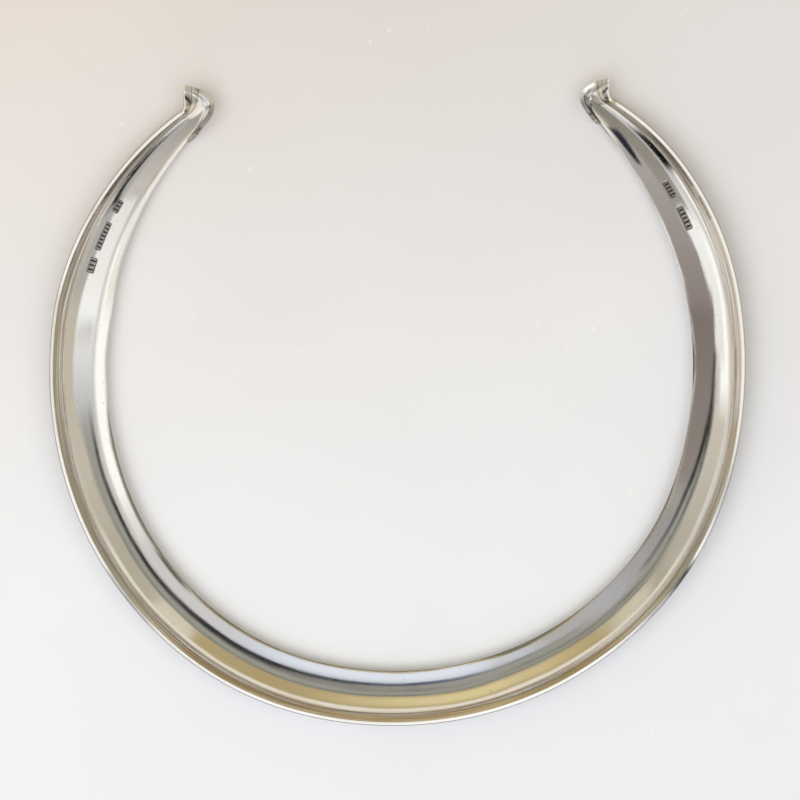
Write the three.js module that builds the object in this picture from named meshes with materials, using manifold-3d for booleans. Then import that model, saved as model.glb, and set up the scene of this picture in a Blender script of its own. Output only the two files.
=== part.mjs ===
// A silver torc: an open neck ring raised from one strip of sheet silver, hollow at the back.
// It lies on its domed front with the hollow back up, as it does on a table. The wearer's neck goes in
// through the gap between the two terminals, whose ends are turned up into small flared lips.
// Units are millimetres. +Z is up, and +Y runs from the middle of the ring to the gap.
// The origin is the middle of the box that the torc fills, at the surface that it lies on.
import * as THREE from 'three';
import { mergeVertices } from 'three/addons/utils/BufferGeometryUtils.js';
import Module from 'manifold-3d';

// The ring, seen from above. Angles count from the middle of the front, minus to the left.
const RING_RADIUS = 64.2; // to the middle of the band
const BENT_SPAN = 147; // the ring is bent by hand within this angle of the front
// How far the band's middle strays outwards from a true ring, evenly spaced from left to right
const BENDS = [2.35, 0.95, -0.4, -0.1, 0.4, -0.25, -0.05, 0.4, 0.2, 2.25, 4.2];

// The strip
const SHEET = 0.9; // thickness of the silver
const LIP_SHEET = 0.75; // what it is beaten down to at the edges of the lips
const INNER_RIM_CUT = 0.12; // how much further the hollow face reaches there, so that the rim is cut upright
const OUTER_RIM_CUT = 0.067; // how far the domed face stops short there, so that the rim is cut slanting

// The two arms, each beaten out by hand to its own shape
const LEFT = {
  width: 11.15, // rim to rim, a quarter of the way round
  taperStart: 102, // angle where the arm starts to narrow
  taperPower: 1.25, // higher keeps it broad for longer
  neck: 142.85, // angle where the lip's bend starts
  neckWidth: 4.75,
  flareBend: 3.9, // radius of the bend that turns the end up, on the hollow face
  flareAngle: 72, // degrees that the end turns through
  flareSpread: 3.5, // how far the outer corner is beaten outwards
  crown: -0.14, // where the tip stands out furthest, from -1 at the inner rim to 1 at the outer one
  outerRounding: 2.2, // how far the outer corner is cut back from there
  innerRounding: 5.4,
};
const RIGHT = {
  width: 10.25,
  taperStart: 99,
  taperPower: 3.1,
  neck: 144.25,
  neckWidth: 4.45,
  flareBend: 3.0,
  flareAngle: 76,
  flareSpread: 2.6,
  crown: -0.3,
  outerRounding: 2.15,
  innerRounding: 3.7,
};
const FLARE_EASE = 1.62; // how much of a lip's outward sweep comes early in its bend
const ROUNDED_LENGTH = 11; // of the strip's end, over which the rounding of the tip fades out
const RIM_FADE = 8; // of the strip's end, over which the cuts of the rims fade out

// The hollow, as the angles that its arc climbs to at the two rims
const FRONT_SECTION = { inner: 31, outer: 75 };
const NECK_SECTION = { inner: 22, outer: 84 };
const SECTION_START = 95; // angle where the section starts to change

// The maker's marks: sunk panels in the hollow, each with a row of strokes left standing
const MARK_DEPTH = 0.25 * SHEET;
const STROKE_WIDTH = 0.26;
const MARK_BORDER = 0.26; // between a panel's edge and its strokes
const MARKS = [
  { angle: -121.8, across: -0.04, length: 2.8, width: 1.45, strokes: 3 },
  { angle: -116, across: -0.06, length: 6, width: 1.3, strokes: 7 },
  { angle: -110.5, across: -0.06, length: 3.2, width: 1.6, strokes: 3 },
  { angle: 119.2, across: -0.23, length: 4.8, width: 1.5, strokes: 5 },
  { angle: 124.8, across: -0.23, length: 3.5, width: 1.4, strokes: 4 },
];

// Rows of faces
const BAND_ROWS = 48; // from the middle of the front to each terminal
const TERMINAL_ROWS = 18;
const TERMINAL_LENGTH = 15;
const ROWS_ACROSS = 14;

const radians = THREE.MathUtils.degToRad;
const degrees = THREE.MathUtils.radToDeg;
const mix = THREE.MathUtils.lerp;

const bends = new THREE.SplineCurve(BENDS.map((stray, i) => new THREE.Vector2(i, stray)));

function armAt(angle) {
  return angle < 0 ? LEFT : RIGHT;
}

// How far an angle is along the way from start to the neck of its arm, from 0 to 1.
function wayAlong(angle, start) {
  return THREE.MathUtils.clamp((Math.abs(angle) - start) / (armAt(angle).neck - start), 0, 1);
}

// Width of the band seen from above, rim to rim.
function bandWidth(angle) {
  const arm = armAt(angle);
  const broad = mix((LEFT.width + RIGHT.width) / 2, arm.width, Math.min(Math.abs(angle) / 90, 1));
  return mix(broad, arm.neckWidth, wayAlong(angle, arm.taperStart) ** arm.taperPower);
}

// A point in the middle of the band, in plan.
function ringPoint(angle) {
  const share = THREE.MathUtils.clamp(angle / BENT_SPAN, -1, 1) / 2 + 0.5;
  const radius = RING_RADIUS + bends.getPoint(share).y;
  return new THREE.Vector3(Math.sin(radians(angle)), -Math.cos(radians(angle)), 0).multiplyScalar(radius);
}

// The hollow's arc at an angle: its radius, and the angles that it climbs to at the two rims.
function hollow(angle) {
  const change = wayAlong(angle, SECTION_START);
  const inner = radians(mix(FRONT_SECTION.inner, NECK_SECTION.inner, change));
  const outer = radians(mix(FRONT_SECTION.outer, NECK_SECTION.outer, change));
  const radius = bandWidth(angle) / (Math.sin(inner) + Math.sin(outer)) - SHEET;
  return { radius, inner, outer };
}

function flareLength(arm) {
  return arm.flareBend * radians(arm.flareAngle);
}

function halfLength(arm) {
  return RING_RADIUS * radians(arm.neck) + flareLength(arm);
}

// How far the strip's end is cut back at a place across it.
function cutBack(arm, across) {
  if (across > arm.crown) return arm.outerRounding * ((across - arm.crown) / (1 - arm.crown)) ** 2;
  const share = Math.min((arm.crown - across) / (1 + arm.crown), 1);
  return arm.innerRounding * (1 - Math.sqrt(1 - share ** 2));
}

// A point of the strip's hollow face. distance runs along it from the middle of the front, and across from -1
// at the inner rim to 1 at the outer one. The lip's bend keeps the same distance from the rounded end.
function hollowPoint(distance, across) {
  const side = Math.sign(distance) || 1;
  const arm = armAt(side);
  const flat = Math.min(Math.abs(distance), halfLength(arm) - flareLength(arm) - cutBack(arm, across));
  const angle = side * degrees(flat / RING_RADIUS);
  const step = 0.05;
  const along = ringPoint(angle + step).sub(ringPoint(angle - step)).normalize();
  const outward = new THREE.Vector3(along.y, -along.x, 0);

  const { radius, inner, outer } = hollow(angle);
  const climb = mix(-inner, outer, (across + 1) / 2);
  const arcMiddle = bandWidth(angle) / 2 - (radius + SHEET) * Math.sin(outer);
  const point = ringPoint(angle).addScaledVector(outward, arcMiddle + radius * Math.sin(climb));
  point.z = SHEET + radius * (1 - Math.cos(climb));

  const turn = (Math.abs(distance) - flat) / arm.flareBend;
  const share = turn / radians(arm.flareAngle);
  const sweep = share ** 2 * (1 + FLARE_EASE * (1 - share)) * ((across + 1) / 2) ** 2;
  point.addScaledVector(along, side * arm.flareBend * Math.sin(turn));
  point.addScaledVector(outward, arm.flareSpread * sweep);
  point.z += arm.flareBend * (1 - Math.cos(turn));
  return point;
}

// The direction through the sheet, from the hollow face to the domed one.
function throughSheet(distance, across) {
  const step = 0.01;
  const along = hollowPoint(distance + step, across).sub(hollowPoint(distance - step, across));
  const over = hollowPoint(distance, across + step).sub(hollowPoint(distance, across - step));
  return along.cross(over).normalize();
}

// A point in the strip, at a depth from 0 on the hollow face to 1 on the domed face.
function formedPoint(distance, across, depth) {
  const arm = armAt(distance);
  const toEnd = halfLength(arm) - cutBack(arm, across) - Math.abs(distance);
  const cutting = THREE.MathUtils.smoothstep(toEnd, 0, RIM_FADE);
  const low = -1 - INNER_RIM_CUT * cutting * (1 - depth);
  const high = 1 - OUTER_RIM_CUT * cutting * depth;
  const cut = mix(low, high, (across + 1) / 2);
  const sheet = mix(LIP_SHEET, SHEET, THREE.MathUtils.clamp(toEnd / flareLength(arm), 0, 1));
  return hollowPoint(distance, cut).addScaledVector(throughSheet(distance, cut), depth * sheet);
}

// The corners of the strip's two ends are cut back, so that the tips are rounded.
function roundedDistance(distance, across) {
  const arm = armAt(distance);
  const fromEnd = halfLength(arm) - Math.abs(distance);
  const fade = THREE.MathUtils.smoothstep(ROUNDED_LENGTH - fromEnd, 0, ROUNDED_LENGTH);
  return distance - Math.sign(distance) * cutBack(arm, across) * fade;
}

// Rows are close together in the terminals and further apart along the band.
function rowDistance(share) {
  const row = Math.abs(share) * (BAND_ROWS + TERMINAL_ROWS);
  const bandLength = halfLength(armAt(share)) - TERMINAL_LENGTH;
  const onBand = Math.min(row / BAND_ROWS, 1);
  const onTerminal = Math.max(row - BAND_ROWS, 0) / TERMINAL_ROWS;
  return Math.sign(share) * (bandLength * onBand + TERMINAL_LENGTH * onTerminal);
}

// A flat strip of faces, bent into the ring.
function stripGeometry() {
  const flat = new THREE.BoxGeometry(2, 2, 1, 2 * (BAND_ROWS + TERMINAL_ROWS), ROWS_ACROSS, 1);
  flat.deleteAttribute('normal');
  flat.deleteAttribute('uv');
  const strip = mergeVertices(flat);
  const places = strip.getAttribute('position');
  for (let i = 0; i < places.count; i += 1) {
    const across = -Math.sin((places.getY(i) * Math.PI) / 2);
    const distance = roundedDistance(rowDistance(places.getX(i)), across);
    const point = formedPoint(distance, across, 0.5 - places.getZ(i));
    places.setXYZ(i, point.x, point.y, point.z);
  }
  return strip;
}

function solidOf(wasm, geometry) {
  const merged = mergeVertices(geometry);
  return new wasm.Manifold(
    new wasm.Mesh({
      numProp: 3,
      vertProperties: merged.getAttribute('position').array,
      triVerts: new Uint32Array(merged.index.array),
    }),
  );
}

function geometryOf(solid) {
  const mesh = solid.getMesh();
  return new THREE.BufferGeometry()
    .setAttribute('position', new THREE.BufferAttribute(mesh.vertProperties, 3))
    .setIndex(new THREE.BufferAttribute(mesh.triVerts, 1));
}

// A block in the hollow at a mark, shifted along it, that reaches from low to high under its surface.
function markBlock(mark, shift, length, width, low, high) {
  const distance = RING_RADIUS * radians(mark.angle) + shift;
  const at = hollowPoint(distance, mark.across);
  const into = throughSheet(distance, mark.across);
  const along = hollowPoint(distance + 1, mark.across).sub(at);
  const over = new THREE.Vector3().crossVectors(into, along).normalize();
  const block = new THREE.BoxGeometry(length, width, high - low);
  block.deleteAttribute('normal');
  block.deleteAttribute('uv');
  block.translate(0, 0, (low + high) / 2);
  along.crossVectors(over, into);
  return block.applyMatrix4(new THREE.Matrix4().makeBasis(along, over, into).setPosition(at));
}

// What a mark takes out of the strip: its panel, less the strokes that are left standing.
function markCutter(wasm, mark) {
  const clearAbove = -mark.width / 2;
  let panel = solidOf(wasm, markBlock(mark, 0, mark.length, mark.width, clearAbove, MARK_DEPTH));
  const row = mark.length - 2 * MARK_BORDER;
  const height = mark.width - 2 * MARK_BORDER;
  for (let i = 0; i < mark.strokes; i += 1) {
    const shift = row * ((i + 0.5) / mark.strokes - 0.5);
    const stroke = markBlock(mark, shift, STROKE_WIDTH, height, MARK_DEPTH / 5, 2 * MARK_DEPTH);
    panel = panel.subtract(solidOf(wasm, stroke));
  }
  return panel;
}

const wasm = await Module();
wasm.setup();
let strip = solidOf(wasm, stripGeometry());
for (const mark of MARKS) strip = strip.subtract(markCutter(wasm, mark));

const geometry = geometryOf(strip);
geometry.computeBoundingBox();
const middle = geometry.boundingBox.getCenter(new THREE.Vector3());
geometry.translate(-middle.x, -middle.y, -geometry.boundingBox.min.z);

const silver = new THREE.MeshStandardMaterial({ color: 0xd8d5ce, metalness: 1, roughness: 0.16 });
const torc = new THREE.Mesh(geometry, silver);
torc.name = 'torc';

const part = new THREE.Group();
part.add(torc);
export default part;
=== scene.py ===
# %% [markdown]
# # A silver torc
#
# A torc is a stiff open neck ring. This one is a single strip of sheet silver, hollow at the back, with two
# small flared tips beside the gap that the wearer's neck goes in by. It lies on its domed front, so the
# hollow back looks up at the camera.
#
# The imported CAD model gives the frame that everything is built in: metres, +Z up, the gap towards +Y. It is
# loaded first, and its box is kept, because the finished piece has to stay inside it.

# %% Load the frame
import math

import bmesh
import bpy
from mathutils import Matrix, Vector, noise


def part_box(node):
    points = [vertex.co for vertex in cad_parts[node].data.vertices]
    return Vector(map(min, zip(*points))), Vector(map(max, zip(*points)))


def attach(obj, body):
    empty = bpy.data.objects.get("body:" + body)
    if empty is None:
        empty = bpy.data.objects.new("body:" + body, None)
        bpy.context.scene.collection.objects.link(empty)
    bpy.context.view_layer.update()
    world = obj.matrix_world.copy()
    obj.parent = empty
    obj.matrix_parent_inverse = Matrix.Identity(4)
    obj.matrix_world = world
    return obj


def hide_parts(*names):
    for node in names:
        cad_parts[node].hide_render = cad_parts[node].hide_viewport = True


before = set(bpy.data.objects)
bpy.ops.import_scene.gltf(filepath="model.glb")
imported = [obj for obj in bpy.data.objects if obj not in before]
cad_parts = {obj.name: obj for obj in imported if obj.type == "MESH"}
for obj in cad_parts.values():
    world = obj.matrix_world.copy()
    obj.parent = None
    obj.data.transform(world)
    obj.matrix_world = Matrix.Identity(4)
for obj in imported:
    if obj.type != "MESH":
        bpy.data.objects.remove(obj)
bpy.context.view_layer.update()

# %% [markdown]
# ## The camera
#
# The picture is taken from straight above, with a long lens, so that both rims of the band keep their true
# outline. A lens as long as this one flattens the view, and the distance follows from it: the frame is about
# 160 mm wide at the height of the rims.

# %% Stand the camera over the torc
MM = 0.001
FRAME_WIDTH = 159.6 * MM
RIM_HEIGHT = 4.5 * MM
FRAME_MIDDLE = (0.49 * MM, 0.47 * MM)

camera = bpy.data.objects.new("camera", bpy.data.cameras.new("camera"))
bpy.context.scene.collection.objects.link(camera)
bpy.context.scene.camera = camera
camera.data.lens = 135
camera.data.sensor_width = 36
distance_up = FRAME_WIDTH * camera.data.lens / camera.data.sensor_width
camera.location = (*FRAME_MIDDLE, RIM_HEIGHT + distance_up)
camera.data.clip_start = 0.01
print(f"the camera stands {distance_up * 1000:.0f} mm above the rims")

# %% [markdown]
# ## The ring in plan
#
# The band was bent by hand, so its middle isn't a true circle: it strays a little in and out. A few strays,
# evenly spaced from tip to tip, with a smooth curve through them, describe that better than one formula
# would. The two arms were hammered out one at a time, and each has sizes of its own.

# %% Describe the plan
RING_RADIUS = 64.2
BENT_SPAN = 147
BENDS = [2.35, 0.95, -0.4, -0.1, 0.4, -0.25, -0.05, 0.4, 0.2, 2.25, 4.2]
SHEET = 0.9
LIP_SHEET = 0.75


class Arm:
    def __init__(self, **sizes):
        self.__dict__.update(sizes)
        self.flare_length = self.flare_bend * math.radians(self.flare_angle)
        self.half_length = RING_RADIUS * math.radians(self.neck) + self.flare_length


LEFT = Arm(width=11.15, taper_start=102, taper_power=1.25, neck=142.85, neck_width=4.75,
           flare_bend=3.9, flare_angle=72, flare_spread=3.5,
           crown=-0.14, outer_rounding=2.2, inner_rounding=5.4)
RIGHT = Arm(width=10.25, taper_start=99, taper_power=3.1, neck=144.25, neck_width=4.45,
            flare_bend=3.0, flare_angle=76, flare_spread=2.6,
            crown=-0.3, outer_rounding=2.15, inner_rounding=3.7)


def arm_at(distance):
    return LEFT if distance < 0 else RIGHT


def mix(a, b, share):
    return a + (b - a) * share


def clamp(value, low=0.0, high=1.0):
    return min(max(value, low), high)


def smooth(value, low, high):
    share = clamp((value - low) / (high - low))
    return share * share * (3 - 2 * share)


def bend_at(share):
    """The smooth curve through BENDS, from 0 at the left end to 1 at the right end."""
    last = len(BENDS) - 1
    place = clamp(share) * last
    i = int(place)
    w = place - i
    a, b, c, d = (BENDS[min(max(k, 0), last)] for k in (i - 1, i, i + 1, i + 2))
    pull_b, pull_c = (c - a) / 2, (d - b) / 2
    return ((2 * b - 2 * c + pull_b + pull_c) * w**3
            + (-3 * b + 3 * c - 2 * pull_b - pull_c) * w**2 + pull_b * w + b)


def ring_point(angle):
    radius = RING_RADIUS + bend_at(clamp(angle / BENT_SPAN, -1, 1) / 2 + 0.5)
    return Vector((math.sin(math.radians(angle)), -math.cos(math.radians(angle)), 0)) * radius


print(f"the strip is {LEFT.half_length + RIGHT.half_length:.0f} mm long before it is bent")

# %% [markdown]
# ## The hollow section
#
# Across the band the sheet is an arc: steep and high at the outer rim, low at the inner one. The arc narrows
# and grows more upright towards the necks. At each tip the strip turns up into a small lip, whose outer
# corner is beaten outwards.
#
# All of this can be written as one function that says where a point of the flat strip goes. The mesh can then
# stay a plain sheet while the rims and the marks are worked, which is how the real one was made. The
# direction through the sheet is found by stepping a little along and across, so no formula is needed for it.
#
# The rims are cut at a slant: the outer one leans outwards and catches the light as a broad bright line.

# %% Write the forming of the strip as one function
FRONT_SECTION = (31, 75)
NECK_SECTION = (22, 84)
SECTION_START = 95
FLARE_EASE = 1.62
ROUNDED_LENGTH = 11
INNER_RIM_CUT = 0.12
OUTER_RIM_CUT = 0.067
RIM_FADE = 8


def way_along(angle, arm, start):
    return clamp((abs(angle) - start) / (arm.neck - start))


def band_width(angle, arm):
    broad = mix((LEFT.width + RIGHT.width) / 2, arm.width, min(abs(angle) / 90, 1))
    return mix(broad, arm.neck_width, way_along(angle, arm, arm.taper_start) ** arm.taper_power)


def cut_back(arm, across):
    """How far the strip's end is cut back at a place across it."""
    if across > arm.crown:
        return arm.outer_rounding * ((across - arm.crown) / (1 - arm.crown)) ** 2
    share = min((arm.crown - across) / (1 + arm.crown), 1)
    return arm.inner_rounding * (1 - math.sqrt(1 - share * share))


def hollow(angle, arm):
    change = way_along(angle, arm, SECTION_START)
    inner, outer = (math.radians(mix(a, b, change)) for a, b in zip(FRONT_SECTION, NECK_SECTION))
    radius = band_width(angle, arm) / (math.sin(inner) + math.sin(outer)) - SHEET
    return radius, inner, outer


def hollow_point(distance, across):
    """A point of the strip's hollow face, in mm."""
    side = -1 if distance < 0 else 1
    arm = arm_at(distance)
    flat = min(abs(distance), arm.half_length - arm.flare_length - cut_back(arm, across))
    angle = side * math.degrees(flat / RING_RADIUS)
    along = (ring_point(angle + 0.05) - ring_point(angle - 0.05)).normalized()
    outward = Vector((along.y, -along.x, 0))

    radius, inner, outer = hollow(angle, arm)
    climb = mix(-inner, outer, (across + 1) / 2)
    arc_middle = band_width(angle, arm) / 2 - (radius + SHEET) * math.sin(outer)
    point = ring_point(angle) + outward * (arc_middle + radius * math.sin(climb))
    point.z = SHEET + radius * (1 - math.cos(climb))

    turn = (abs(distance) - flat) / arm.flare_bend
    share = turn / math.radians(arm.flare_angle)
    sweep = share**2 * (1 + FLARE_EASE * (1 - share)) * ((across + 1) / 2) ** 2
    point += along * (side * arm.flare_bend * math.sin(turn)) + outward * (arm.flare_spread * sweep)
    point.z += arm.flare_bend * (1 - math.cos(turn))
    return point


def through_sheet(distance, across):
    step = 0.01
    along = hollow_point(distance + step, across) - hollow_point(distance - step, across)
    over = hollow_point(distance, across + step) - hollow_point(distance, across - step)
    return along.cross(over).normalized()


def cut_at(distance, across, depth):
    """Where a point of the sheet lies across it once the rims are cut, and how far it is from the end."""
    arm = arm_at(distance)
    to_end = arm.half_length - cut_back(arm, across) - abs(distance)
    cutting = smooth(to_end, 0, RIM_FADE)
    low = -1 - INNER_RIM_CUT * cutting * (1 - depth)
    high = 1 - OUTER_RIM_CUT * cutting * depth
    return mix(low, high, (across + 1) / 2), to_end


def formed(distance, across, depth):
    """A point of the strip: its place in mm, and the direction through the sheet."""
    cut, to_end = cut_at(distance, across, depth)
    sheet = mix(LIP_SHEET, SHEET, clamp(to_end / arm_at(distance).flare_length))
    through = through_sheet(distance, cut)
    return hollow_point(distance, cut) + through * (depth * sheet), through


def rounded(distance, across):
    """The corners of the strip's two ends are cut back, so that the tips are rounded."""
    arm = arm_at(distance)
    from_end = arm.half_length - abs(distance)
    fade = smooth(ROUNDED_LENGTH - from_end, 0, ROUNDED_LENGTH)
    return distance - math.copysign(cut_back(arm, across) * fade, distance)


print("at the front the hollow is", round(hollow_point(0, 1).z - SHEET, 2), "mm deep")

# %% [markdown]
# ## The blank
#
# The blank is a flat grid, extruded once to give it a lower face. X is the distance along the strip in mm, Y
# goes from -1 at the inner rim to 1 at the outer one, and Z is 0 on the face that becomes the hollow and -1
# on the face that becomes the dome. Rows are closer together near the tips, where the bends are tight.

# %% Cut the blank
BAND_ROWS = 230
TIP_ROWS = 64
TIP_LENGTH = 15
ROWS_ACROSS = 36
CROWDING = 0.35  # how much closer together the rows across come towards the rims


def row_distance(share):
    row = abs(share) * (BAND_ROWS + TIP_ROWS)
    band = arm_at(share).half_length - TIP_LENGTH
    place = band * min(row / BAND_ROWS, 1) + TIP_LENGTH * max(row - BAND_ROWS, 0) / TIP_ROWS
    return math.copysign(place, share)


strip = bmesh.new()
bmesh.ops.create_grid(strip, x_segments=2 * (BAND_ROWS + TIP_ROWS), y_segments=ROWS_ACROSS, size=1)
for vert in strip.verts:
    across = math.sin(vert.co.y * math.pi / 2) * CROWDING + vert.co.y * (1 - CROWDING)
    vert.co = (rounded(row_distance(vert.co.x), across), across, 0)
lower = bmesh.ops.extrude_face_region(strip, geom=strip.faces[:], use_keep_orig=True)
lower_verts = [g for g in lower["geom"] if isinstance(g, bmesh.types.BMVert)]
bmesh.ops.translate(strip, verts=lower_verts, vec=(0, 0, -1))
bmesh.ops.recalc_face_normals(strip, faces=strip.faces)
print("the blank has", len(strip.verts), "points and", len(strip.faces), "faces")

# %% [markdown]
# ## The stamped marks
#
# Five small marks were punched into the hollow: sunk panels with a row of strokes left standing in each. The
# strokes are plain bars. A stamped mark has soft edges, which a boolean cut doesn't give, so the panels are
# pressed in by moving points. That takes a fine mesh, but only under the punch: the edges there are divided
# three times over, each time in a smaller window.

# %% Divide the mesh under the punches
MARKS = [  # angle, across, length, width, strokes
    (-121.8, -0.04, 2.8, 1.45, 3),
    (-116.0, -0.06, 6.0, 1.3, 7),
    (-110.5, -0.06, 3.2, 1.6, 3),
    (119.2, -0.23, 4.8, 1.5, 5),
    (124.8, -0.23, 3.5, 1.4, 4),
]
MARKS_MIDDLE = 132  # of the stretch of each arm that has marks, along the strip, and half its length
MARKS_REACH = 12


def on_mark(mark, distance, across):
    """Where a point lies from a mark's middle, in mm along and across the band."""
    angle, middle = mark[:2]
    radius, inner, outer = hollow(angle, arm_at(angle))
    cut, _ = cut_at(distance, across, 0)
    return (distance - RING_RADIUS * math.radians(angle),
            (cut - middle) * radius * (inner + outer) / 2)


for margin in (0.8, 0.5, 0.25):
    under = []
    for edge in strip.edges:
        a, b = (vert.co for vert in edge.verts)
        if a.z < -0.5 or b.z < -0.5:
            continue
        middle = (a + b) / 2
        if abs(abs(middle.x) - MARKS_MIDDLE) > MARKS_REACH:
            continue
        for mark in MARKS:
            x, y = on_mark(mark, middle.x, middle.y)
            if abs(x) < mark[2] / 2 + margin and abs(y) < mark[3] / 2 + margin:
                under.append(edge)
                break
    bmesh.ops.subdivide_edges(strip, edges=under, cuts=1, use_grid_fill=True)
print("with the marks' meshes:", len(strip.faces), "faces")

# %% [markdown]
# A punch leaves a rounded panel. Its depth is worked out from the distance to the panel's edge, and each
# stroke stands back up inside it. The same depth, from 0 to 1, is kept on the mesh as an attribute, because
# the silver in the recesses has gone black.

# %% Work out how deep the punches go
MARK_DEPTH = 0.25 * SHEET
MARK_BORDER = 0.26
CORNER = 0.35
SOFT_EDGE = 0.16
STROKE_WIDTH = 0.36  # at its foot, where its soft edge ends
STROKE_SPREAD = 0.1  # how much further its foot reaches, so that strokes are a little taller
STROKE_CORNER = 0.08
STROKE_SOFT_EDGE = 0.15
STROKE_STANDS = 0.85  # of the panel's depth
SHORTER_STROKE = 0.12


def panel(x, y, length, width, corner, soft):
    """1 inside a rounded rectangle, 0 outside it, with a soft edge."""
    dx = max(abs(x) - length / 2 + corner, 0)
    dy = max(abs(y) - width / 2 + corner, 0)
    return 1 - smooth(math.hypot(dx, dy) - corner, -soft, 0)


def punched(distance, across):
    deepest = 0.0
    if abs(abs(distance) - MARKS_MIDDLE) > MARKS_REACH:
        return deepest
    for index, mark in enumerate(MARKS):
        _, _, length, width, strokes = mark
        x, y = on_mark(mark, distance, across)
        if abs(x) > length / 2 or abs(y) > width / 2:
            continue
        depth = panel(x, y, length, width, CORNER, SOFT_EDGE)
        row = length - 2 * MARK_BORDER
        for i in range(strokes):
            shift = row * ((i + 0.5) / strokes - 0.5)
            height = (width - 2 * MARK_BORDER) * (1 - SHORTER_STROKE * ((i + index) % 2)) + STROKE_SPREAD
            stroke = panel(x - shift, y, STROKE_WIDTH, height, STROKE_CORNER, STROKE_SOFT_EDGE)
            depth *= 1 - STROKE_STANDS * stroke
        deepest = max(deepest, depth)
    return deepest


# %% [markdown]
# ## Hammered unevenness
#
# The band was hammered over a stake and then polished. The blows can no longer be seen, but the polished
# surface still isn't quite true, so the reflections in it waver. Three sizes of noise, a few hundredths of a
# millimetre high and drawn out along the band, do the same. A fourth noise lets the middle of the band lean a
# little to one side and the other, by less than a tenth of a millimetre. Anything higher would look dented.

# %% Form the strip
WAVER = (  # how far a swelling reaches along the band and across it, and its height, in mm
    (21, 7.0, 0.080),
    (7, 3.4, 0.022),
    (2.4, 1.6, 0.0036),
)
LEAN = 0.45  # mm, before the noise and the fade towards the rims make it less
LEAN_REACH = 17
HALF_WIDTH = 5.8
UNDERSIDE_SHARE = 0.3  # of the unevenness is left on the dome
CALM_TIP = (2, 14)


def uneven(distance, across, depth):
    """The height of the unevenness in mm. It fades out over CALM_TIP, two distances from the tip."""
    total = 0.0
    for along_size, across_size, height in WAVER:
        place = Vector((distance / along_size, across * HALF_WIDTH / across_size, depth * 5 + height * 100))
        total += height * noise.noise(place)
    lean = LEAN * noise.noise(Vector((distance / LEAN_REACH, 3.7, 0)))
    total += lean * across * (1 - across**2)
    total *= mix(1, UNDERSIDE_SHARE, depth)
    return total * smooth(arm_at(distance).half_length - abs(distance), *CALM_TIP)


punch = strip.verts.layers.float.new("punched")
underside = strip.verts.layers.float.new("underside")
strip_uv = strip.loops.layers.uv.new("strip")
for face in strip.faces:
    for loop in face.loops:
        loop[strip_uv].uv = (loop.vert.co.x, loop.vert.co.y * HALF_WIDTH)

for vert in strip.verts:
    distance, across, depth = vert.co.x, vert.co.y, -vert.co.z
    point, through = formed(distance, across, depth)
    sunk = punched(distance, across) if depth < 0.5 else 0.0
    vert[punch] = sunk
    vert[underside] = depth
    vert.co = point + through * (sunk * MARK_DEPTH + uneven(distance, across, depth))
widest = max(v.co.x for v in strip.verts) - min(v.co.x for v in strip.verts)
print("formed into a ring", round(widest, 1), "mm across")

# %% [markdown]
# ## The rims
#
# The edges of the sheet were filed and rubbed smooth, so they catch a thin line of light. A bevel with three
# segments rounds them. It has to come after the forming, so that its width is the same in every direction.

# %% Round the rims
RIM_ROUNDING = 0.07
SHARP = 50  # degrees between the faces at a rim, or more

strip.normal_update()
sharp = [e for e in strip.edges if e.is_manifold and e.calc_face_angle() > math.radians(SHARP)]
bmesh.ops.bevel(strip, geom=sharp, offset=RIM_ROUNDING, offset_type="OFFSET", segments=3, profile=0.5,
                affect="EDGES", material=-1, clamp_overlap=True)
print(len(sharp), "edges rounded")

# %% [markdown]
# ## One finished piece
#
# The ring is moved so that its box's middle is the frame's origin and its lowest place touches Z = 0, and
# turned into metres. Where the unevenness makes it a few hundredths of a millimetre larger than the CAD box,
# it is shrunk to that box. It then takes the place of the CAD node, rides on its body and takes the silver's
# slot.

# %% Put the torc in its frame
INSIDE = 0.9999  # of the CAD box, so that rounding doesn't carry the torc past it

low = Vector(min(v.co[i] for v in strip.verts) for i in range(3))
high = Vector(max(v.co[i] for v in strip.verts) for i in range(3))
cad_low, cad_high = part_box("torc")
fit = Vector(min(MM, (cad_high[i] - cad_low[i]) * INSIDE / (high[i] - low[i])) for i in range(3))
bmesh.ops.scale(strip, vec=fit, verts=strip.verts)
shift = Vector(((cad_low.x + cad_high.x) / 2 - (low.x + high.x) / 2 * fit.x,
                (cad_low.y + cad_high.y) / 2 - (low.y + high.y) / 2 * fit.y,
                cad_low.z - low.z * fit.z))
bmesh.ops.translate(strip, vec=shift, verts=strip.verts)
for face in strip.faces:
    face.smooth = True

mesh = bpy.data.meshes.new("silver_torc")
strip.to_mesh(mesh)
strip.free()

# The rounded edges are far narrower than the faces beside them. Normals weighted by area keep those faces
# flat right up to the edge, so that the rims shine evenly.
normals = [Vector() for _ in mesh.vertices]
for polygon in mesh.polygons:
    for index in polygon.vertices:
        normals[index] += polygon.normal * polygon.area
mesh.normals_split_custom_set_from_vertices([normal.normalized() for normal in normals])
torc = bpy.data.objects.new("silver_torc", mesh)
bpy.context.scene.collection.objects.link(torc)
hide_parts("torc")
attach(torc, "root")
print("the torc has", sum(len(p.vertices) - 2 for p in mesh.polygons), "triangles")

# %% [markdown]
# ## Helpers for nodes
#
# The silver, the stone and the room are all built from nodes. A few short functions add a node, set its
# values and link it, so that the steps below stay easy to read. They all write to the node tree picked last.

# %% Write the helpers for nodes
def start_nodes(owner):
    """Empty the node tree of a material or a world, and let the functions below write to it."""
    global nodes, links
    owner.use_nodes = True
    nodes, links = owner.node_tree.nodes, owner.node_tree.links
    nodes.clear()


def add(kind, **values):
    node = nodes.new(kind)
    for name, value in values.items():
        if hasattr(node, name):
            setattr(node, name, value)
        else:
            node.inputs[name.replace("_", " ")].default_value = value
    return node


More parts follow.
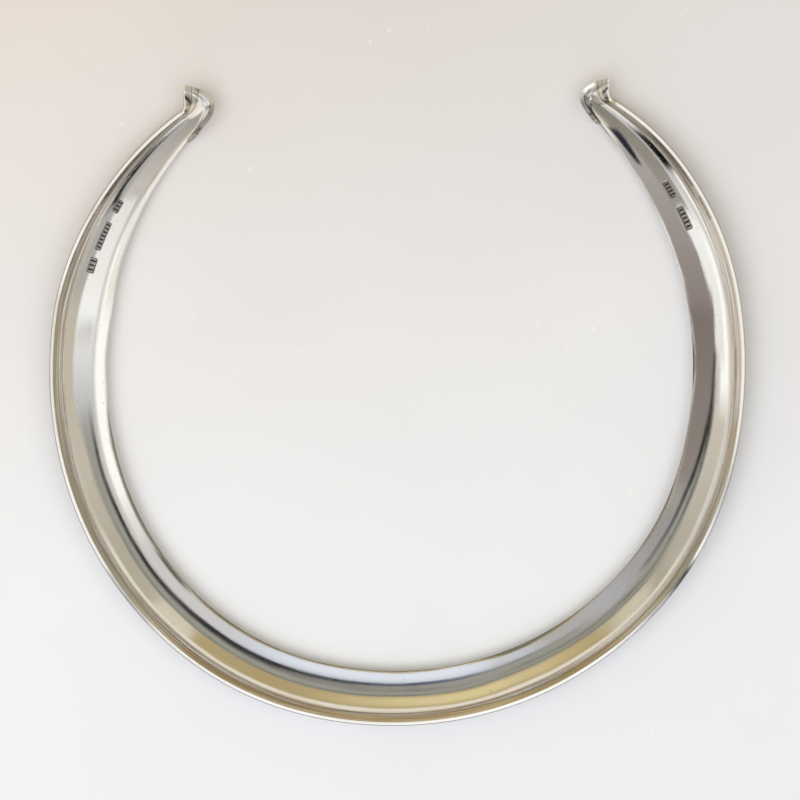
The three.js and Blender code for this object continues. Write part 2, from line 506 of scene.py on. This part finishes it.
def noise_of(vector, scale, detail=3.0, roughness=0.5):
    node = add("ShaderNodeTexNoise", Scale=scale, Detail=detail, Roughness=roughness)
    links.new(vector, node.inputs["Vector"])
    return node.outputs["Fac"]


def ranged(value, low, high, to_low, to_high):
    node = add("ShaderNodeMapRange")
    for i, number in enumerate((low, high, to_low, to_high)):
        node.inputs[1 + i].default_value = number
    links.new(value, node.inputs[0])
    return node.outputs[0]


def maths(kind, a, b):
    node = add("ShaderNodeMath", operation=kind)
    for i, value in enumerate((a, b)):
        if isinstance(value, (int, float)):
            node.inputs[i].default_value = value
        else:
            links.new(value, node.inputs[i])
    return node.outputs[0]


def blend_colours(share, a, b):
    node = add("ShaderNodeMix", data_type="RGBA")
    links.new(share, node.inputs[0])
    for socket, colour in ((node.inputs[6], a), (node.inputs[7], b)):
        if isinstance(colour, tuple):
            socket.default_value = (*colour, 1)
        else:
            links.new(colour, socket)
    return node.outputs[2]


print("ready to build with nodes")

# %% [markdown]
# ## The silver
#
# Polished silver has hardly any colour of its own: nearly all that shows is the room. What makes it look real
# is what breaks the reflection up a little: a haze that comes and goes, fine polishing lines that run along
# the band, a few tiny pits, a breath of warm tarnish, and black sulphide left in the marks. Brownish streaks
# under the outer rim are a painted reflection, and the corner of the outer rim that faces the table is
# painted dark as a contact shadow. The inner rim along the front is painted dark as shade, and the inner edge
# of each lip is painted darker.

# %% Mix the silver
silver = bpy.data.materials.new("polished_silver")
start_nodes(silver)

# Two kinds of noise are drawn out along the strip. Its map is in mm: X is the distance from the strip's
# middle, and Y goes from -5.8 at the inner rim to 5.8 at the outer one.
place = add("ShaderNodeTexCoord").outputs["Object"]
strip_map = add("ShaderNodeUVMap", uv_map="strip").outputs["UV"]
stretched = add("ShaderNodeMapping")
stretched.inputs["Scale"].default_value = (0.06, 6, 1)
links.new(strip_map, stretched.inputs["Vector"])
polish_lines = noise_of(stretched.outputs["Vector"], 1.0, detail=4.0, roughness=0.65)
coarse = add("ShaderNodeMapping")
coarse.inputs["Scale"].default_value = (0.035, 2.2, 1)
links.new(strip_map, coarse.inputs["Vector"])
streak_noise = noise_of(coarse.outputs["Vector"], 1.0, detail=3.0, roughness=0.6)

# Haze, tarnish and pits lie anywhere.
haze = noise_of(place, 120.0, detail=4.0)
tarnish = ranged(noise_of(place, 55.0, detail=5.0, roughness=0.6), 0.52, 0.75, 0.0, 1.0)
pit_noise = noise_of(place, 2600.0, detail=1.0)
pits = ranged(pit_noise, 0.74, 0.80, 0.0, 1.0)

# The marks are black at the foot of their walls and strokes, and greyer on the flat between them.
sunk = add("ShaderNodeAttribute", attribute_name="punched").outputs["Fac"]
blackened = maths("SUBTRACT", ranged(sunk, 0.12, 0.5, 0.0, 1.0), ranged(sunk, 0.85, 1.0, 0.0, 0.42))

# The painted streaks and the darkened edges keep to their places on the strip.
across_map = add("ShaderNodeSeparateXYZ")
links.new(strip_map, across_map.inputs[0])
near_outer = maths("MULTIPLY", ranged(across_map.outputs["Y"], 2.2, 2.7, 0.0, 1.0),
                   ranged(across_map.outputs["Y"], 5.35, 5.7, 1.0, 0.0))
# Painted reflection: brownish streaks along the band under the outer rim copy a streaky reflection.
painted_streaks = maths("MULTIPLY", near_outer, ranged(streak_noise, 0.36, 0.62, 0.25, 1.0))
from_front = maths("ABSOLUTE", across_map.outputs["X"], 0)
on_front = ranged(from_front, 84, 98, 1.0, 0.0)
at_inner_rim = ranged(across_map.outputs["Y"], -5.76, -5.66, 1.0, 0.0)
# Painted shade: the inner rim along the front is darkened into a thin dark line.
inner_rim_shade = maths("MULTIPLY", at_inner_rim, on_front)
# The inner edge of each lip is painted darker.
lip_edge = maths("MULTIPLY", at_inner_rim, ranged(from_front, 150, 155, 0.0, 1.0))
depth = add("ShaderNodeAttribute", attribute_name="underside").outputs["Fac"]
# Painted shadow: the corner of the outer rim that faces the table is darkened as a contact shadow.
table_contact_shadow = maths("MULTIPLY", ranged(depth, 0.68, 0.9, 0.0, 1.0),
                     ranged(across_map.outputs["Y"], 5.70, 5.78, 0.0, 1.0))

clean = blend_colours(tarnish, (0.945, 0.935, 0.905), (0.90, 0.875, 0.815))
pitted = blend_colours(pits, clean, (0.30, 0.27, 0.23))
# The brownish colour of these streaks is a painted reflection.
streaked = blend_colours(painted_streaks, pitted, (0.47, 0.40, 0.31))
lipped = blend_colours(lip_edge, streaked, (0.40, 0.38, 0.35))
# Painted shade: the rim corner by the table and the inner rim along the front turn dark grey.
rim_shaded = blend_colours(maths("MAXIMUM", table_contact_shadow, inner_rim_shade), lipped, (0.27, 0.255, 0.235))
colour = blend_colours(blackened, rim_shaded, (0.085, 0.078, 0.070))

roughness = maths("ADD", ranged(haze, 0.35, 0.7, 0.055, 0.13), ranged(polish_lines, 0.4, 0.75, 0.0, 0.05))
roughness = maths("ADD", roughness, maths("MULTIPLY", maths("MAXIMUM", pits, blackened), 0.35))
roughness = maths("ADD", roughness, maths("MULTIPLY", painted_streaks, 0.06))

shader = add("ShaderNodeBsdfPrincipled", Metallic=1.0)
links.new(colour, shader.inputs["Base Color"])
links.new(roughness, shader.inputs["Roughness"])
bump = add("ShaderNodeBump", Strength=0.3, Distance=0.00003)
relief = maths("ADD", maths("SUBTRACT", polish_lines, maths("MULTIPLY", pits, 0.6)),
               maths("MULTIPLY", maths("MULTIPLY", near_outer, streak_noise), 1.6))
links.new(relief, bump.inputs["Height"])
links.new(bump.outputs["Normal"], shader.inputs["Normal"])
links.new(shader.outputs["BSDF"], add("ShaderNodeOutputMaterial").inputs["Surface"])
mesh.materials.append(silver)
print("the silver uses", len(nodes), "nodes")

# %% [markdown]
# ## The table
#
# The torc lies on a pale polished stone slab, whose colour is painted lighter and cooler at the near side and
# darker and warmer towards the gap: a painted gradient of light and shade. It isn't part of the object.

# %% Lay the table
table_mesh = bpy.data.meshes.new("table")
slab = bmesh.new()
bmesh.ops.create_grid(slab, x_segments=1, y_segments=1, size=1.6)
slab.to_mesh(table_mesh)
slab.free()
table = bpy.data.objects.new("table", table_mesh)
bpy.context.scene.collection.objects.link(table)

stone = bpy.data.materials.new("pale_stone")
start_nodes(stone)
place = add("ShaderNodeTexCoord").outputs["Object"]
cloud = ranged(noise_of(place, 22.0, detail=5.0, roughness=0.6), 0.3, 0.7, 0.0, 1.0)
middle_of = add("ShaderNodeSeparateXYZ")
links.new(place, middle_of.inputs[0])
towards_right = ranged(middle_of.outputs["X"], -0.07, 0.07, 0.0, 1.0)
towards_gap = ranged(middle_of.outputs["Y"], -0.03, 0.085, 0.0, 1.0)
# Painted light and shade: the stone is painted lighter and cooler at the near side and darker and warmer
# towards the gap, as the light over the table falls off.
lit_near_side = blend_colours(towards_right, (0.875, 0.902, 0.952), (0.835, 0.862, 0.918))
shaded_gap_side = blend_colours(towards_right, (0.735, 0.680, 0.650), (0.705, 0.695, 0.70))
clear = blend_colours(towards_gap, lit_near_side, shaded_gap_side)
clouded = blend_colours(ranged(cloud, 0.0, 1.0, 0.0, 0.05), clear, (0.40, 0.37, 0.34))
flecks = ranged(noise_of(place, 420.0, detail=2.0), 0.70, 0.80, 0.0, 0.5)
colour = blend_colours(flecks, clouded, (0.95, 0.95, 0.95))
shader = add("ShaderNodeBsdfPrincipled", Roughness=0.45)
links.new(colour, shader.inputs["Base Color"])
links.new(shader.outputs["BSDF"], add("ShaderNodeOutputMaterial").inputs["Surface"])
table_mesh.materials.append(stone)
print("the table is", table.dimensions.x, "m wide")

# %% [markdown]
# ## The room
#
# Silver is lit by what it mirrors, so the light is a room made of soft patches rather than a few lamps. Each
# patch has a direction, a size and a colour: a bright window on the left, a warm panel beyond the gap, a cool
# white wall on the near side. A direction is given by its bearing, clockwise from +Y, and its tilt from
# straight up. The patches are laid over each other in the world's nodes.
#
# The camera itself sees a plain pale backdrop in their place.

# %% Paint the room
def linear(r, g, b):
    """A colour as it is seen on screen, from 0 to 255, turned into an amount of light."""
    return tuple((c / 255 / 12.92 if c / 255 <= 0.04045 else ((c / 255 + 0.055) / 1.055) ** 2.4)
                 for c in (r, g, b))


ROOM_BASE = (153, 151, 143)
ROOM = [  # bearing from, to, softness; tilt from, to, softness; colour
    ("left_far_wall", -84, -40, 8, 21, 84, 3, (172, 166, 150)),
    ("right_far_wall", 40, 76, 6, 24, 80, 3, (176, 169, 153)),
    ("right_wall", 66, 106, 8, 29, 80, 3, (192, 185, 170)),
    ("warm_panel", -40, 40, 1.2, 20, 66, 1.5, (172, 154, 114)),
    ("warm_panel_lit", -28, 6, 14, 24, 58, 9, (214, 198, 152)),
    ("strip_left", -50, -39, 1.0, 21, 67, 2, (202, 194, 174)),
    ("strip_right", 39, 48.5, 1.0, 21, 65, 2, (210, 203, 186)),
    ("low_cream", -62, 62, 6, 66, 85, 2, (226, 219, 204)),
    ("low_tan", -62, 62, 8, 85, 96, 2, (132, 112, 82)),
    ("far_edge", -64, 64, 6, 14.5, 20.5, 1, (120, 122, 118)),
    ("low_right", 50, 112, 8, 77, 97, 2, (243, 238, 230)),
    ("low_left", 262, 326, 8, 78, 97, 2, (248, 244, 238)),
    ("near_wall", 150, 232, 9, 24, 110, 2, (200, 203, 213)),
    ("near_wall_low", 158, 205, 16, 38, 110, 12, (222, 228, 240)),
    ("near_left_wall", 214, 250, 8, 16, 110, 4, (202, 200, 200)),
    ("left_wall", 240, 300, 8, 14, 78, 4, (200, 197, 192)),
    ("window", 244, 298, 7, 32, 68, 6, (254, 253, 250)),
    ("near_right_wall", 104, 156, 8, 26, 110, 6, (172, 170, 168)),
    ("horizon", 112, 264, 10, 79, 99, 2, (254, 254, 253)),
    ("doorway_right", 121.5, 134.5, 1.5, 62, 104, 5, (12, 11, 11)),
    ("doorway_left", 226, 237, 1.5, 60, 104, 5, (12, 11, 11)),
]

world = bpy.data.worlds.new("room")
bpy.context.scene.world = world
start_nodes(world)
direction = add("ShaderNodeTexCoord").outputs["Generated"]
parts = add("ShaderNodeSeparateXYZ")
links.new(direction, parts.inputs[0])
bearing = maths("MULTIPLY", maths("ARCTAN2", parts.outputs["X"], parts.outputs["Y"]), 180 / math.pi)
tilt = maths("MULTIPLY", maths("ARCCOSINE", parts.outputs["Z"], 0), 180 / math.pi)


def soft_step(value, low, high):
    node = add("ShaderNodeMapRange", interpolation_type="SMOOTHSTEP")
    node.inputs[1].default_value, node.inputs[2].default_value = low, high
    links.new(value, node.inputs[0])
    return node.outputs[0]


def within(value, low, high, softness):
    """1 between low and high, 0 outside, with soft ends."""
    middle, half = (low + high) / 2, (high - low) / 2
    from_middle = maths("ABSOLUTE", maths("SUBTRACT", value, middle), 0)
    return maths("SUBTRACT", 1, soft_step(from_middle, half - softness, half + softness))


def bearing_from(middle):
    """The bearing measured from a patch's middle, from -180 to 180."""
    turned = maths("ADD", maths("SUBTRACT", bearing, middle), 540)
    return maths("SUBTRACT", maths("FLOORED_MODULO", turned, 360), 180)


light = linear(*ROOM_BASE)
for name, az_low, az_high, az_soft, low, high, soft, tone in ROOM:
    off = bearing_from((az_low + az_high) / 2)
    half = (az_high - az_low) / 2
    mask = maths("MULTIPLY", within(off, -half, half, az_soft), within(tilt, low, high, soft))
    light = blend_colours(mask, light, linear(*tone))
print("the room has", len(ROOM), "patches")

# %% [markdown]
# Somebody stands at the near side with a camera, and the silver mirrors the edge of that shape as one thin
# dark line all along the hollow. The shape is drawn as the outline of an oval in the ceiling's plane. Its
# left side is nearly black and its near side bluish, and it fades out to the right.

# %% Draw the dark outline overhead
OVAL_MIDDLE = (0.10, -0.22)
OVAL_REACH = (0.26, 0.24)
OVAL_EDGE = 0.40

up = maths("MAXIMUM", parts.outputs["Z"], 0.05)
east = maths("DIVIDE", parts.outputs["X"], up)
north = maths("DIVIDE", parts.outputs["Y"], up)
off_east = maths("DIVIDE", maths("SUBTRACT", east, OVAL_MIDDLE[0]), OVAL_REACH[0])
off_north = maths("DIVIDE", maths("SUBTRACT", north, OVAL_MIDDLE[1]), OVAL_REACH[1])
reach = maths("SQRT", maths("ADD", maths("MULTIPLY", off_east, off_east),
                            maths("MULTIPLY", off_north, off_north)), 0)
outline = within(reach, 1 - OVAL_EDGE, 1 + OVAL_EDGE, 0.16)
on_left = maths("SUBTRACT", 1, soft_step(east, -0.10, 0.02))
on_near = maths("MULTIPLY", maths("SUBTRACT", 1, soft_step(north, -0.34, -0.20)),
                maths("SUBTRACT", 1, soft_step(east, 0.08, 0.30)))
light = blend_colours(maths("MULTIPLY", outline, on_near), light, linear(84, 94, 116))
light = blend_colours(maths("MULTIPLY", outline, on_left), light, linear(44, 42, 44))

backdrop = add("ShaderNodeBackground", Color=(0.80, 0.79, 0.775, 1), Strength=1.0)
studio = add("ShaderNodeBackground", Strength=1.06)
links.new(light, studio.inputs["Color"])
seen = add("ShaderNodeMixShader")
links.new(add("ShaderNodeLightPath").outputs["Is Camera Ray"], seen.inputs[0])
links.new(studio.outputs[0], seen.inputs[1])
links.new(backdrop.outputs[0], seen.inputs[2])
links.new(seen.outputs[0], add("ShaderNodeOutputWorld").inputs["Surface"])
print("the room uses", len(nodes), "nodes")

# %% [markdown]
# ## The light on the table
#
# The room alone leaves the table too dark, so two very wide suns brighten it, the stronger one from the
# window's side. Together they leave a soft shadow on both sides of the band. The silver doesn't mirror them,
# because more bright spots would spoil the calm bands in the hollow.

# %% Brighten the table
LIGHTS = (  # name, strength, turns round X and Y
    ("window_light", 1.05, 18, -26),
    ("wall_light", 0.70, 12, 28),
)
WIDE = 55  # degrees
for name, strength, turn_x, turn_y in LIGHTS:
    lamp = bpy.data.objects.new(name, bpy.data.lights.new(name, "SUN"))
    bpy.context.scene.collection.objects.link(lamp)
    lamp.data.energy = strength
    lamp.data.angle = math.radians(WIDE)
    lamp.data.color = (1.0, 0.985, 0.965)
    lamp.rotation_euler = (math.radians(turn_x), math.radians(turn_y), 0)
    lamp.visible_glossy = False
bpy.context.scene.view_settings.view_transform = "Standard"
print("the table's lights:", [light[0] for light in LIGHTS])

# %% [markdown]
# ## Things beside the torc
#
# A few glowing sheets stand in for a sleeve and some cards close over the torc, and paint reflections into
# the silver;
# the dark ones paint shade. Silver shows each of them only in the stretch that it is nearest to. They are
# flat sheets, cut as parts of rings round the torc's middle, and only their mirror images are ever seen.

# %% Hang the sheets
RING_MIDDLE = 4.67


def sheet_beside(name, angles, start_radii, end_radii, height, tones, soft_end):
    """A part of a flat ring over the torc, in mm. Its reach and its tone change from one end to the other.

    It fades out over soft_end degrees at each end.
    """
    sheet = bmesh.new()
    bmesh.ops.create_grid(sheet, x_segments=48, y_segments=1, size=1)
    share, solid = (sheet.verts.layers.float.new(layer) for layer in ("share", "solid"))
    for vert in sheet.verts:
        vert[share] = (vert.co.x + 1) / 2
        degrees = mix(*angles, vert[share])
        vert[solid] = clamp(min(degrees - angles[0], angles[1] - degrees) / soft_end)
        angle = math.radians(degrees)
        inner, outer = (mix(a, b, vert[share]) for a, b in zip(start_radii, end_radii))
        radius = mix(inner, outer, (vert.co.y + 1) / 2)
        vert.co = (radius * math.sin(angle) * MM, (RING_MIDDLE - radius * math.cos(angle)) * MM, height * MM)
    data = bpy.data.meshes.new(name)
    sheet.to_mesh(data)
    sheet.free()
    hung = bpy.data.objects.new(name, data)
    bpy.context.scene.collection.objects.link(hung)
    hung.visible_camera = hung.visible_diffuse = hung.visible_shadow = False
    glow_material = bpy.data.materials.new(name)
    start_nodes(glow_material)
    along, there = (add("ShaderNodeAttribute", attribute_name=layer).outputs["Fac"]
                    for layer in ("share", "solid"))
    # The sheet glows with its own tone, though it is no lamp: a painted reflection, and painted shade where
    # the tone is dark.
    glow = add("ShaderNodeEmission")
    links.new(blend_colours(along, linear(*tones[0]), linear(*tones[1])), glow.inputs["Color"])
    faded = add("ShaderNodeMixShader")
    links.new(there, faded.inputs[0])
    links.new(add("ShaderNodeBsdfTransparent").outputs[0], faded.inputs[1])
    links.new(glow.outputs[0], faded.inputs[2])
    links.new(faded.outputs[0], add("ShaderNodeOutputMaterial").inputs["Surface"])
    data.materials.append(glow_material)


# Sheets that are seen in the right half of the ring, from the front to the neck
sheet_beside("sleeve_fold", (34, 72), (65.5, 128), (68.5, 128), 25, ((186, 187, 193), (146, 139, 134)), 9)
sheet_beside("sleeve", (66, 108), (68.5, 128), (55, 128), 25.2, ((146, 139, 134), (122, 112, 105)), 5)
sheet_beside("fold_shadow", (50, 70), (68.5, 74), (67, 72), 24, ((140, 138, 137), (70, 68, 70)), 4)
sheet_beside("sleeve_shadow", (65.5, 97), (67.2, 73), (57.0, 60.2), 24, ((40, 38, 42), (74, 70, 70)), 2)
sheet_beside("grey_card", (50, 90), (12, 58), (12, 54), 25, ((168, 162, 146), (214, 206, 192)), 7)
sheet_beside("pale_card", (92, 124), (38, 58), (38, 66), 25.4, ((234, 230, 226), (250, 250, 250)), 5)
sheet_beside("sleeve_end", (100, 138), (58, 110), (66, 100), 25, ((136, 126, 121), (178, 172, 170)), 4)
sheet_beside("dim_card", (122, 153), (38, 65.5), (38, 65.5), 25, ((156, 150, 142), (130, 124, 114)), 1)
sheet_beside("black_clip", (131, 139.5), (72, 78), (66, 84), 24, ((24, 25, 30), (40, 46, 62)), 0.6)
sheet_beside("right_rim_card", (100, 152), (102, 180), (88, 150), 26, ((240, 235, 228), (246, 243, 240)), 5)
# And in the left half
sheet_beside("grey_end", (-106, -76), (46, 72), (46, 72), 25, ((252, 252, 252), (160, 160, 162)), 10)
sheet_beside("white_card", (-127, -99), (46, 72), (46, 72), 25.2, ((232, 228, 226), (252, 252, 252)), 3)
sheet_beside("neck_card", (-152, -124), (46, 76), (46, 76), 25, ((140, 131, 125), (206, 200, 196)), 3)
sheet_beside("black_wedge", (-134.5, -122.5), (18, 30), (20, 54), 12, ((12, 11, 11), (14, 13, 13)), 0.4)
sheet_beside("left_rim_card", (-152, -100), (84, 150), (84, 150), 26, ((246, 243, 240), (240, 235, 228)), 5)
print("the sheets are hung")

# %% [markdown]
